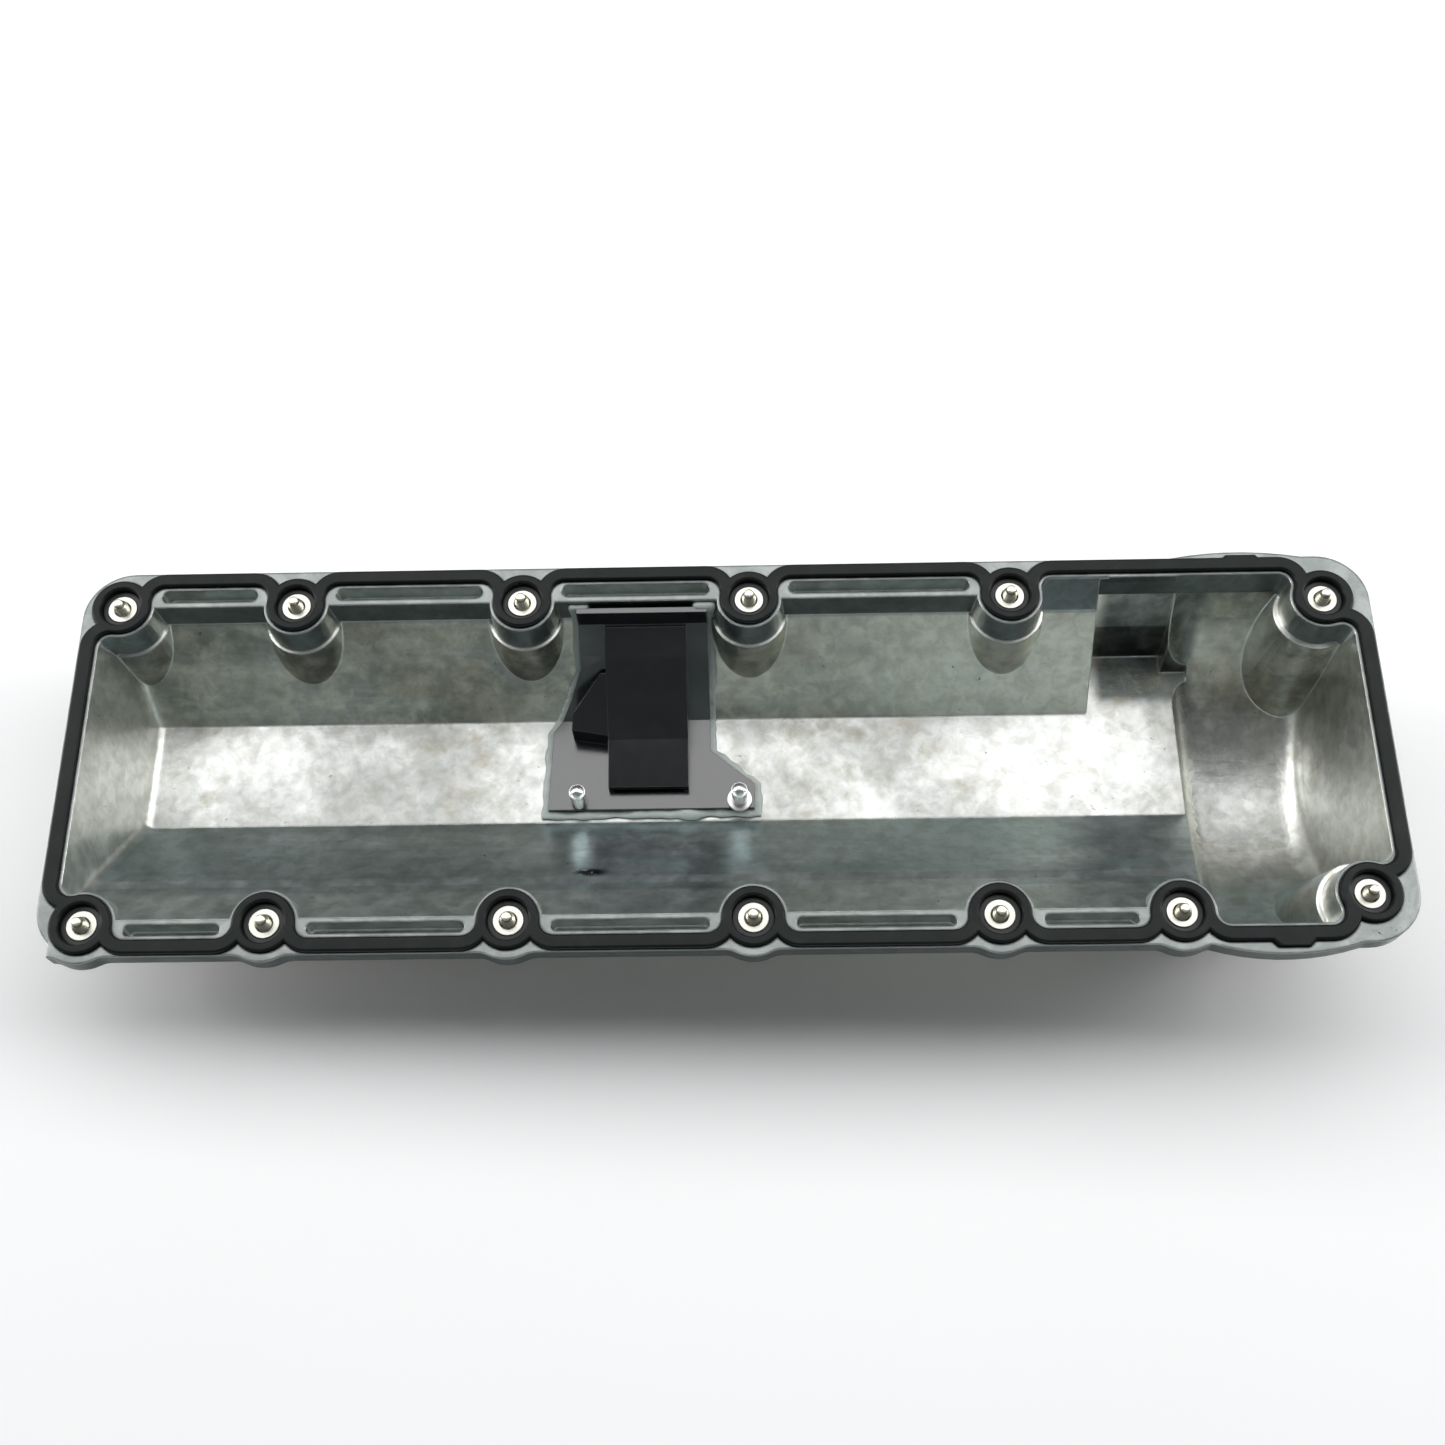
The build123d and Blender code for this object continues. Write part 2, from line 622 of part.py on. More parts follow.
def baffle():
    sheet = lining(baffle_gap, baffle_wall) & prism(baffle_outline(0), floor_z - 1, 0)
    sheet = clear_of_bosses(sheet, boss_gap)
    room = along_x(grown(trough_outline(), -baffle_gap - 0.5), baffle_left, baffle_right)
    outline = hood_line()
    hood = along_x(outline, hood_left, hood_right) & room
    duct_left = hood_left + hood_wall
    duct_right = hood_right - hood_wall
    duct = along_x(grown(outline, -hood_wall), duct_left, duct_right)
    duct += block(duct_left, duct_right, hood_end_y - above, hood_end_y + 4 * hood_wall,
                  floor_z, floor_z + hood_clearance_low + 1)
    body = sheet + hood + (oil_scoop() & room)
    body -= duct & along_x(grown(trough_outline(), -baffle_gap - baffle_wall), baffle_left, baffle_right)
    lined = along_x(grown(trough_outline(), -baffle_gap - baffle_wall - 1), baffle_left, baffle_right)
    body -= breather_boss(spigot_bore, far_floor_y, half_width) - lined
    for x, y in pin_places:
        body -= rod(x, y, pin_radius, floor_z - 1, floor_z + 20)
    return body


def baffle_sealant():
    skin = lining(0, baffle_gap) & prism(baffle_outline(sealant_bulge), floor_z - 1, 0)
    skin -= prism(baffle_outline(-sealant_share * floor_width), floor_z - 1, 0)
    skin = clear_of_bosses(skin, 0) & trough_solid(0)
    for x, y in pin_places:
        skin -= rod(x, y, pin_radius, floor_z - 1, floor_z + 20)
    return skin


def baffle_pin(x, y):
    top = floor_z + baffle_gap + baffle_wall + pin_above_plate
    body = rod(x, y, pin_radius, floor_z - pin_seat, top - pin_radius * 0.6)
    return body + Pos(x, y, top - pin_radius) * Sphere(pin_radius)


def pin_ring():
    x, y = pin_places[1]
    base = floor_z + baffle_gap + baffle_wall
    ring = rod(x, y, pin_radius + ring_width, base, base + ring_thickness)
    return ring - rod(x, y, pin_radius, base - 1, base + ring_thickness + 1)


def breather_spigot():
    inner_end = far_rib_y - 16
    collar_end = spigot_boss_end + spigot_collar_width
    body = breather_boss(spigot_radius - spigot_seat_step, inner_end, spigot_boss_end)
    body += breather_boss(spigot_radius + spigot_collar, spigot_boss_end, collar_end)
    body += breather_boss(spigot_radius, collar_end, spigot_reach)
    body -= breather_boss(spigot_bore, inner_end - 1, spigot_reach + 1)
    return body - along_x(trough_outline(), spigot_x - 2 * spigot_radius, spigot_x + 2 * spigot_radius)


# ---------------------------------------------------------------- write every node
def whole(shape):
    """One solid as itself, several as a group."""
    solids = shape.solids()
    return solids[0] if len(solids) == 1 else Compound(solids)


nodes = {
    "cover_casting": cover_casting(),
    "head_gasket": head_gasket(),
    "bolt_sleeves": Compound([sleeve(x, y).solids()[0] for x, y in bolt_places]),
    "bolt_grommets": Compound([grommet(x, y).solids()[0] for x, y in bolt_places]),
    "baffle": baffle(),
    "baffle_sealant": baffle_sealant(),
    "baffle_pins": Compound([baffle_pin(x, y).solids()[0] for x, y in pin_places]),
    "pin_ring": pin_ring(),
    "breather_spigot": breather_spigot(),
}
for number, (x, y) in enumerate(bolt_places, start=1):
    nodes[f"washer_{number}"] = washer(x, y)
    nodes[f"bolt_{number}"] = bolt(x, y)

for name, shape in nodes.items():
    export_step(whole(shape), f"parts/{name}.step")
    print(name, len(shape.solids()), round(shape.volume, 1))
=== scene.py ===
# %% [markdown]
# # A cylinder head cover, upside down, as a lesson in Blender
# The cover lies on its roof with the open side up. A CAD model gives every part its size and place, and this
# file gives the parts their finish: die-cast aluminium, moulded rubber, zinc-plated bolts and black nylon.
# All lengths are in metres, and the gasket face is the plane z = 0.

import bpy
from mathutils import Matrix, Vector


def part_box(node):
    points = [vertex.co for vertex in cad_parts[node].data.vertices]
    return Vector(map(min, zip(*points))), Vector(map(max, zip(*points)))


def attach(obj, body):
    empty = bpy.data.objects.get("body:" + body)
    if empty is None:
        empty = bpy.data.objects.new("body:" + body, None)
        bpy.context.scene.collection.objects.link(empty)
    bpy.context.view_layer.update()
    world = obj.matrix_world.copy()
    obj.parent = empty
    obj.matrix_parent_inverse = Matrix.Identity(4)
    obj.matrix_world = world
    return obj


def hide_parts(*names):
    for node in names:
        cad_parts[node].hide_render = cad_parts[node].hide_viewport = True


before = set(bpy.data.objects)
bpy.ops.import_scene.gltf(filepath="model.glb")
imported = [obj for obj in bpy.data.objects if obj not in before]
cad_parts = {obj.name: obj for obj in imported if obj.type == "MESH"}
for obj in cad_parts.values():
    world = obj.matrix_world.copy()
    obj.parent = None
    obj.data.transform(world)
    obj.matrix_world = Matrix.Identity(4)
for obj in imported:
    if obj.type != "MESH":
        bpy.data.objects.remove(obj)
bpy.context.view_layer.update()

import math

import bmesh
import bpy
from mathutils import Matrix, Vector

MM = 0.001

# %% [markdown]
# ## Camera
# A product picture of a long, flat thing is taken from above, a little to the front, so that the viewer looks
# into the cavity and still sees the front of the flange. The camera is placed by its height over the gasket
# face and turned by three small angles, which is easier to read than a look-at target with a roll.

# %% Camera
CAMERA_PLACE = Vector((0.0118, -0.2652, 0.6346))
LENS, SENSOR_WIDTH = 43.08, 36.0        # mm, as on a camera
CAMERA_TILT, CAMERA_ROLL, CAMERA_YAW = (math.radians(a) for a in (23.56, -3.09, 2.47))

camera_data = bpy.data.cameras.new("camera")
camera_data.lens = LENS
camera_data.sensor_width = SENSOR_WIDTH
camera = bpy.data.objects.new("camera", camera_data)
turn = Matrix.Rotation(CAMERA_YAW, 4, "Z") @ Matrix.Rotation(CAMERA_TILT, 4, "X")
turn = turn @ Matrix.Rotation(CAMERA_ROLL, 4, "Z")
camera.matrix_world = Matrix.Translation(CAMERA_PLACE) @ turn
bpy.context.scene.collection.objects.link(camera)
bpy.context.scene.camera = camera
print("camera at", tuple(round(v, 3) for v in CAMERA_PLACE))

# %% [markdown]
# ## Floor and light
# The roof isn't level: the round housing over the timing gear is deeper than the rest. So the cover rests on
# that dome and on the far end of its roof, and the floor is tilted by the same small angle instead of moving
# the part. One large soft box hangs behind and above, so that the flat bottom of the cavity mirrors it and the
# sloping walls mirror the darker room.

# %% Floor
FLOOR_HALF = 4.0
FLOOR_GAP = 0.0003
ROOF_DEPTH = 0.0585                     # flange face to the roof of the long part
ROOF_INSET, DOME_INSET = 0.016, 0.068   # where the roof and the dome touch, in from the two ends
low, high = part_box("cover_casting")
ROOF_LEFT = Vector((low.x + ROOF_INSET, 0, -ROOF_DEPTH))
DOME_FOOT = Vector((high.x - DOME_INSET, 0, low.z))
floor_slope = math.atan2(DOME_FOOT.z - ROOF_LEFT.z, DOME_FOOT.x - ROOF_LEFT.x)


def new_object(name, mesh):
    """Link a mesh into the scene as an object."""
    made = bpy.data.objects.new(name, mesh)
    bpy.context.scene.collection.objects.link(made)
    return made


floor_mesh = bpy.data.meshes.new("floor")
floor_mesh.from_pydata([(-FLOOR_HALF, -FLOOR_HALF, 0), (FLOOR_HALF, -FLOOR_HALF, 0),
                        (FLOOR_HALF, FLOOR_HALF, 0), (-FLOOR_HALF, FLOOR_HALF, 0)], [], [(0, 1, 2, 3)])
floor = new_object("floor", floor_mesh)
floor.rotation_euler = (0, -floor_slope, 0)
floor.location = DOME_FOOT - Vector((0, 0, FLOOR_GAP))
print("floor tilt in degrees:", round(math.degrees(floor_slope), 2))


# %% Lights
def area_light(name, place, aim, size, power):
    """A rectangular soft box at place that faces aim."""
    data = bpy.data.lights.new(name, "AREA")
    data.shape = "RECTANGLE"
    data.size, data.size_y = size
    data.energy = power
    made = bpy.data.objects.new(name, data)
    made.location = place
    made.rotation_euler = (Vector(aim) - Vector(place)).to_track_quat("-Z", "Y").to_euler()
    bpy.context.scene.collection.objects.link(made)


area_light("soft_box_behind", (0.05, 0.60, 1.25), (0, 0.05, 0), (3.4, 1.0), 27)
area_light("fill_left", (-2.3, 0.5, 0.9), (-0.2, 0, 0), (0.7, 2.0), 32)
area_light("fill_right", (2.3, 0.5, 0.9), (0.2, 0, 0), (0.7, 2.0), 28)

ROOM_COLOUR = (0.90, 0.95, 1.0, 1)
ROOM_STRENGTH = 0.15
world = bpy.data.worlds.new("room")
world.use_nodes = True
world.node_tree.nodes["Background"].inputs["Color"].default_value = ROOM_COLOUR
world.node_tree.nodes["Background"].inputs["Strength"].default_value = ROOM_STRENGTH
bpy.context.scene.world = world
bpy.context.scene.view_settings.view_transform = "Standard"

# %% [markdown]
# ## Building blocks for the finishes
# A finish is a small network of nodes. What several finishes share, such as fine grain or blotches of dried
# oil, is a node group: it is made once, takes its sizes through named inputs and gives back a value, and each
# material uses it with its own numbers. The coordinates are the object's own, so a finish sticks to its part.


# %% Node group helpers
def new_group(name, inputs, outputs):
    """A shader node group with float inputs (name, default) and outputs (name, kind)."""
    group = bpy.data.node_groups.new(name, "ShaderNodeTree")
    for label, default in inputs:
        socket = group.interface.new_socket(label, in_out="INPUT", socket_type="NodeSocketFloat")
        socket.default_value = default
    for label, kind in outputs:
        group.interface.new_socket(label, in_out="OUTPUT", socket_type=kind)
    return group, group.nodes.new("NodeGroupInput"), group.nodes.new("NodeGroupOutput")


def add(tree, kind, settings=(), **values):
    """Add a node; settings are its own properties, values fill its input sockets by name, or i0, i1 by number."""
    node = tree.nodes.new("ShaderNode" + kind)
    for label, value in dict(settings).items():
        setattr(node, label, value)
    for label, value in values.items():
        numbered = label[0] == "i" and label[1:].isdigit()
        socket = node.inputs[int(label[1:])] if numbered else node.inputs[label]
        if isinstance(value, bpy.types.NodeSocket):
            tree.links.new(value, socket)
        else:
            socket.default_value = value
    return node


def math_node(tree, operation, first, second=0.0):
    return add(tree, "Math", {"operation": operation}, i0=first, i1=second).outputs[0]


def times(tree, first, second):
    return math_node(tree, "MULTIPLY", first, second)


def object_point(tree):
    return add(tree, "TexCoord").outputs["Object"]


def stretched_noise(tree, scale, stretch=(1, 1, 1), detail=4.0, rough=0.55, offset=(0, 0, 0)):
    mapping = add(tree, "Mapping", Vector=object_point(tree), Scale=stretch, Location=offset)
    return add(tree, "TexNoise", Vector=mapping.outputs[0], Scale=scale, Detail=detail,
               Roughness=rough).outputs["Fac"]


def ramp(tree, value, low_end, high_end):
    """0 at low_end, 1 at high_end, smooth between; low_end may be the larger."""
    node = add(tree, "MapRange", {"interpolation_type": "SMOOTHSTEP"}, Value=value)
    node.inputs["From Min"].default_value = low_end
    node.inputs["From Max"].default_value = high_end
    return node.outputs["Result"]


def mix_colour(tree, factor, first, second, blend="MIX"):
    node = tree.nodes.new("ShaderNodeMix")
    node.data_type = "RGBA"
    node.blend_type = blend
    for index, value in ((0, factor), (6, first), (7, second)):
        if isinstance(value, bpy.types.NodeSocket):
            tree.links.new(value, node.inputs[index])
        else:
            node.inputs[index].default_value = value
    return node.outputs[2]


print("node helpers ready")


# %% [markdown]
# Three effects are shared. Grain is the fine pebbled skin of a cast or moulded surface. Blotches are soft
# stains. Edge wear finds convex and concave edges by comparing the true normal with a rounded one, and it also
# hands on the rounded normal, which takes the razor edge off a CAD mesh.

# %% Shared effects
def make_grain_group():
    group, given, result = new_group("grain", [("Scale", 900), ("Coarse", 120)],
                                     [("Height", "NodeSocketFloat")])
    point = object_point(group)
    fine = add(group, "TexNoise", Vector=point, Scale=given.outputs["Scale"], Detail=3.0).outputs["Fac"]
    wide = add(group, "TexNoise", Vector=point, Scale=given.outputs["Coarse"], Detail=4.0).outputs["Fac"]
    group.links.new(math_node(group, "ADD", times(group, fine, 0.4), wide), result.inputs[0])
    return group


def make_blotch_group():
    group, given, result = new_group("blotches", [("Scale", 30), ("Start", 0.5), ("End", 0.7), ("Seed", 0)],
                                     [("Mask", "NodeSocketFloat")])
    shift = add(group, "CombineXYZ", X=given.outputs["Seed"], Y=given.outputs["Seed"])
    place = add(group, "VectorMath", {"operation": "ADD"}, i0=object_point(group), i1=shift.outputs[0])
    spots = add(group, "TexNoise", Vector=place.outputs[0], Scale=given.outputs["Scale"], Detail=6.0,
                Roughness=0.62, Distortion=0.4).outputs["Fac"]
    mask = add(group, "MapRange", {"interpolation_type": "SMOOTHSTEP"}, Value=spots)
    group.links.new(given.outputs["Start"], mask.inputs["From Min"])
    group.links.new(given.outputs["End"], mask.inputs["From Max"])
    group.links.new(mask.outputs["Result"], result.inputs[0])
    return group


def make_edge_group():
    group, given, result = new_group("edge_wear", [("Width", 0.0008)],
                                     [("Mask", "NodeSocketFloat"), ("Normal", "NodeSocketVector")])
    soft = add(group, "Bevel", {"samples": 4}, Radius=given.outputs["Width"]).outputs[0]
    sharp = add(group, "NewGeometry").outputs["Normal"]
    alike = add(group, "VectorMath", {"operation": "DOT_PRODUCT"}, i0=soft, i1=sharp).outputs["Value"]
    group.links.new(ramp(group, alike, 0.995, 0.90), result.inputs[0])
    group.links.new(soft, result.inputs[1])
    return group


GRAIN, BLOTCHES, EDGES = make_grain_group(), make_blotch_group(), make_edge_group()


def use(tree, group, **values):
    """Place a shared effect in a material with this material's own values."""
    node = tree.nodes.new("ShaderNodeGroup")
    node.node_tree = group
    for label, value in values.items():
        node.inputs[label].default_value = value
    return node


def new_material(name, **constants):
    """A material with its Principled shader; constants are set on the shader's own sockets."""
    material = bpy.data.materials.new(name)
    material.use_nodes = True
    shader = material.node_tree.nodes["Principled BSDF"]
    for label, value in constants.items():
        shader.inputs[label.replace("_", " ")].default_value = value
    return material, material.node_tree, shader


def bumped(tree, shader, height, distance, strength, normal):
    """Bump on top of a given normal, here always the rounded one."""
    bump = add(tree, "Bump", Height=height, Distance=distance, Strength=strength, Normal=normal)
    tree.links.new(bump.outputs[0], shader.inputs["Normal"])


def uneven_gloss(tree, shader, value, smooth, dull):
    """Roughness that wanders between two values."""
    gloss = add(tree, "MapRange", Value=value)
    gloss.inputs["To Min"].default_value = smooth
    gloss.inputs["To Max"].default_value = dull
    tree.links.new(gloss.outputs[0], shader.inputs["Roughness"])


def finish_node(node_name, material):
    """Give a CAD node its finish."""
    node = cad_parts[node_name]
    node.data.materials.clear()
    node.data.materials.append(material)


print("shared effects:", [g.name for g in (GRAIN, BLOTCHES, EDGES)])

# %% [markdown]
# ## The casting
# Die-cast aluminium comes out of the mould satin and slightly mottled, and hot oil stains it. The machined
# flange is a separate look: flat, pale and finely milled. Both live in one material, told apart by height,
# because the machined plane is exactly z = 0.


# %% Places and colours of the casting
# Metal colours as pairs, the darker one first
PALE_SKIN = ((0.56, 0.57, 0.54, 1), (0.78, 0.79, 0.75, 1))
FLOOR_SKIN = ((0.30, 0.31, 0.30, 1), (0.55, 0.56, 0.55, 1))
FAR_SKIN = ((0.34, 0.34, 0.31, 1), (0.66, 0.65, 0.59, 1))
# Painted shade for the far wall inside the recess, as a darker pair
RECESS_SHADE = ((0.16, 0.17, 0.16, 1), (0.30, 0.31, 0.29, 1))
# Blue-grey tint of the sloping near wall: a painted reflection of the room, with streaks
NEAR_SKIN_AND_REFLECTION = ((0.50, 0.60, 0.62, 1), (0.78, 0.85, 0.86, 1))
MILLED_SKIN = ((0.17, 0.185, 0.18, 1), (0.27, 0.29, 0.28, 1))
# Stains, single tones, and painted shade and light
# Painted shade on the floor of the recess pocket
POCKET_SHADE = (0.09, 0.10, 0.095, 1)
BEIGE_OIL = (0.30, 0.27, 0.20, 1)
CHALKY = (0.78, 0.76, 0.64, 1)
BROWN_OIL = (0.38, 0.33, 0.24, 1)
BRIGHT_END = (0.95, 0.95, 0.84, 1)
# Painted shade on the top band of the far wall
FAR_RIM_SHADE = (0.22, 0.25, 0.25, 1)
# Painted light on the top band of the near wall
NEAR_RIM_LIGHT = (0.72, 0.80, 0.79, 1)
FINE_TONE = (0.62, 0.61, 0.57, 1)
PORE_TONE = (0.16, 0.15, 0.13, 1)
WORN_EDGE = (0.84, 0.85, 0.83, 1)
# Painted shade for the outer side of the flange
FLANGE_SIDE_SHADE = (0.035, 0.055, 0.052, 1)
SOOT = (0.012, 0.016, 0.022, 1)
# Marks of use: centre in mm, half sizes in mm, size of the ragged edge, how much of it is left
STAINS = [((-54.0, -43.0, -23.0), (9.0, 4.5, 4.5), 220, 0.42),
          ((246.0, -79.0, 0.0), (3.5, 2.0, 1.0), 700, 0.55),
          ((253.0, -77.5, 0.0), (4.0, 1.4, 1.0), 800, 0.58)]


def in_metres(lengths):
    return tuple(value * MM for value in lengths)


def dirt_spot(tree, centre, half_size, scale, start):
    """A ragged dark mark inside an ellipsoid."""
    offset = add(tree, "VectorMath", {"operation": "SUBTRACT"}, i0=object_point(tree), i1=in_metres(centre))
    scaled = add(tree, "VectorMath", {"operation": "DIVIDE"}, i0=offset.outputs[0], i1=in_metres(half_size))
    reach = add(tree, "VectorMath", {"operation": "LENGTH"}, i0=scaled.outputs[0]).outputs["Value"]
    ragged = stretched_noise(tree, scale, (1, 1, 1), 5, 0.6)
    inside = ramp(tree, reach, 1.0, 0.35)
    return times(tree, inside, ramp(tree, ragged, start, start + 0.06))


def flange_side_shade(tree, place):
    """Painted shade on the outer side of the flange, outside its milled face."""
    across = math_node(tree, "ABSOLUTE", place.outputs["Y"])
    along = math_node(tree, "ABSOLUTE", place.outputs["X"])
    outside = math_node(tree, "MAXIMUM", ramp(tree, across, 0.0810, 0.0822),
                        ramp(tree, along, 0.2636, 0.2646))
    return times(tree, outside, ramp(tree, place.outputs["Z"], -0.0004, -0.0012))


def zones(tree, place, facing):
    """Masks that tell the walls, floors and milled face of the casting apart by where they are and face."""
    x, y, z = (place.outputs[axis] for axis in "XYZ")
    in_recess = times(tree, ramp(tree, x, 0.158, 0.165), ramp(tree, x, 0.206, 0.200))
    return {
        "milled": times(tree, ramp(tree, z, -0.0004, -0.0001), ramp(tree, facing.outputs["Z"], 0.7, 0.9)),
        "far_wall": ramp(tree, facing.outputs["Y"], -0.35, -0.7),
        "near_wall": ramp(tree, facing.outputs["Y"], 0.3, 0.7),
        "rim": ramp(tree, z, -0.0155, -0.0135),
        "gear_half": times(tree, ramp(tree, x, -0.02, 0.12), ramp(tree, x, 0.165, 0.158)),
        "recess": in_recess,
        "pocket": times(tree, in_recess, ramp(tree, y, 0.038, 0.046)),
        "floor": times(tree, ramp(tree, facing.outputs["Z"], 0.94, 0.99), ramp(tree, z, -0.045, -0.050)),
    }


# %% Casting finish
def far_wall_colour(tree, zone, streaks, chalk, brown):
    """Streaked, chalky and oil-brown, paler towards the gear end, with painted shade inside the recess and on the
    top band at the rim.
    """
    wall = mix_colour(tree, streaks, *FAR_SKIN)
    wall = mix_colour(tree, times(tree, chalk, 0.6), wall, CHALKY)
    wall = mix_colour(tree, times(tree, brown, 0.55), wall, BROWN_OIL)
    wall = mix_colour(tree, times(tree, zone["gear_half"], 0.75), wall, BRIGHT_END)
    # Painted shade inside the recess
    wall = mix_colour(tree, zone["recess"], wall, mix_colour(tree, chalk, *RECESS_SHADE))
    # Painted shade on the wall's top band
    return mix_colour(tree, zone["rim"], wall, FAR_RIM_SHADE)


def cast_aluminium():
    material, tree, shader = new_material("cast_aluminium", Metallic=1.0)
    place = add(tree, "SeparateXYZ", Vector=object_point(tree))
    facing = add(tree, "SeparateXYZ", Vector=add(tree, "NewGeometry").outputs["True Normal"])
    zone = zones(tree, place, facing)
    edges = use(tree, EDGES, Width=0.0012)
    pale = use(tree, BLOTCHES, Scale=13, Start=0.40, End=0.64).outputs[0]
    chalk = use(tree, BLOTCHES, Scale=75, Start=0.40, End=0.66, Seed=5.2).outputs[0]
    brown = use(tree, BLOTCHES, Scale=30, Start=0.47, End=0.68, Seed=3.1).outputs[0]
    pores = use(tree, BLOTCHES, Scale=300, Start=0.67, End=0.74, Seed=7.7).outputs[0]
    fine = use(tree, BLOTCHES, Scale=160, Start=0.36, End=0.66, Seed=2.9).outputs[0]
    streaks = ramp(tree, stretched_noise(tree, 26, (0.22, 1, 1), 7, 0.62, (0.3, 0.1, 0)), 0.44, 0.66)

    # The floor of the recess pocket gets painted shade over the mottled trough floor
    trough_floor = mix_colour(tree, zone["pocket"], mix_colour(tree, pale, *FLOOR_SKIN), POCKET_SHADE)
    colour = mix_colour(tree, zone["floor"], mix_colour(tree, pale, *PALE_SKIN), trough_floor)
    colour = mix_colour(tree, times(tree, brown, times(tree, chalk, 0.55)), colour, BEIGE_OIL)
    colour = mix_colour(tree, zone["far_wall"], colour, far_wall_colour(tree, zone, streaks, chalk, brown))
    # The near wall gets a painted blue reflection of the room over its streaks, and painted light on its top band
    slope = mix_colour(tree, zone["rim"], mix_colour(tree, streaks, *NEAR_SKIN_AND_REFLECTION), NEAR_RIM_LIGHT)
    colour = mix_colour(tree, zone["near_wall"], colour, slope)
    mottled = mix_colour(tree, 1.0, colour, FINE_TONE, "MULTIPLY")
    colour = mix_colour(tree, times(tree, fine, 0.55), colour, mottled)
    colour = mix_colour(tree, pores, colour, PORE_TONE)
    colour = mix_colour(tree, times(tree, edges.outputs["Mask"], 0.6), colour, WORN_EDGE)
    colour = mix_colour(tree, zone["milled"], colour, mix_colour(tree, chalk, *MILLED_SKIN))
    # Painted shade on the outer side of the flange
    colour = mix_colour(tree, flange_side_shade(tree, place), colour, FLANGE_SIDE_SHADE)
    for stain in STAINS:
        colour = mix_colour(tree, dirt_spot(tree, *stain), colour, SOOT)
    tree.links.new(colour, shader.inputs["Base Color"])

    wander = stretched_noise(tree, 40, (0.3, 1, 1), 6)
    uneven_gloss(tree, shader, math_node(tree, "ADD", times(tree, chalk, 0.35), times(tree, wander, 0.65)),
                 0.24, 0.50)
    grain = use(tree, GRAIN, Scale=1500, Coarse=220)
    bumped(tree, shader, grain.outputs[0], 0.00016, 0.7, edges.outputs["Normal"])
    return material


finish_node("cover_casting", cast_aluminium())
print("casting finished")


# %% [markdown]
# ## Bolts with real threads
# Each bolt is one lathe profile plus a helix. The CAD bolt is a plain stack of cylinders, and its box gives
# the place and length. The thread is a plain grid of rings. The radius of each point depends on its height less
# its angle's share of the pitch, so the ridge climbs one pitch in a turn and makes a true helix. The dog point
# at the tip has no thread, because it guides the bolt into its hole.

# %% Bolt sizes
BOLT_COUNT = 13
RING_SIDES = 48
THREAD_PITCH = 1.0 * MM
ROWS_PER_TURN = 10
THREAD_CREST, THREAD_ROOT = 2.95 * MM, 2.42 * MM
THREAD_FADE_IN, THREAD_FADE_OUT = 10, 8       # rows over which the ridge grows and dies away
THREAD_START = 12.3 * MM                      # back from the tip
DOG_LENGTH = 2.5 * MM
HEAD_HEIGHT = 6.0 * MM                        # from the top of the head to the flange's seat
HEAD_HALF_FLAT = 5.0 * MM
TURN_STEP = 2.4                               # radians from one bolt to the next, so that no two look alike


# %% Bolt mesh
def ring_at(bm, radii, height):
    """A ring of vertices at one height; radii holds one radius for each side."""
    ring = []
    for i, radius in enumerate(radii):
        angle = 2 * math.pi * i / len(radii)
        ring.append(bm.verts.new((radius * math.cos(angle), radius * math.sin(angle), height)))
    return ring


def join_rings(bm, rings):
    """Quads between each ring and the next."""
    for lower, upper in zip(rings[:-1], rings[1:]):
        for i in range(len(lower)):
            j = (i + 1) % len(lower)
            bm.faces.new((lower[i], lower[j], upper[j], upper[i]))


def lathe_rings(bm, profile):
    """Round rings for (radius, height) pairs."""
    return [ring_at(bm, [radius] * RING_SIDES, height) for radius, height in profile]


def thread_rings(bm, bottom, top):
    """A helical thread between two heights: the radius depends on how far a point is round its own turn."""
    rows = int((top - bottom) / THREAD_PITCH * ROWS_PER_TURN)
    rings = []
    for row in range(rows + 1):
        height = bottom + (top - bottom) * row / rows
        fade = min(1.0, row / THREAD_FADE_IN, (rows - row) / THREAD_FADE_OUT)
        radii = []
        for i in range(RING_SIDES):
            phase = (height / THREAD_PITCH - i / RING_SIDES) % 1.0
            ridge = max(0.0, min(1.0, 1.25 - abs(phase - 0.5) * 3.2))
            radii.append(THREAD_ROOT + (THREAD_CREST - THREAD_ROOT) * ridge * fade)
        rings.append(ring_at(bm, radii, height))
    return rings


def hexagon_rings(bm, top, bottom):
    """The head, chamfered towards its outer end."""
    rings = []
    steps = ((top, 1.0), (bottom + 0.7 * MM, 1.0), (bottom + 0.15 * MM, 0.93), (bottom, 0.80))
    for height, size in steps:
        ring = []
        for i in range(6):
            angle = math.pi / 6 + i * math.pi / 3
            radius = HEAD_HALF_FLAT / math.cos(math.pi / 6) * size
            ring.append(bm.verts.new((radius * math.cos(angle), radius * math.sin(angle), height)))
        rings.append(ring)
    return rings


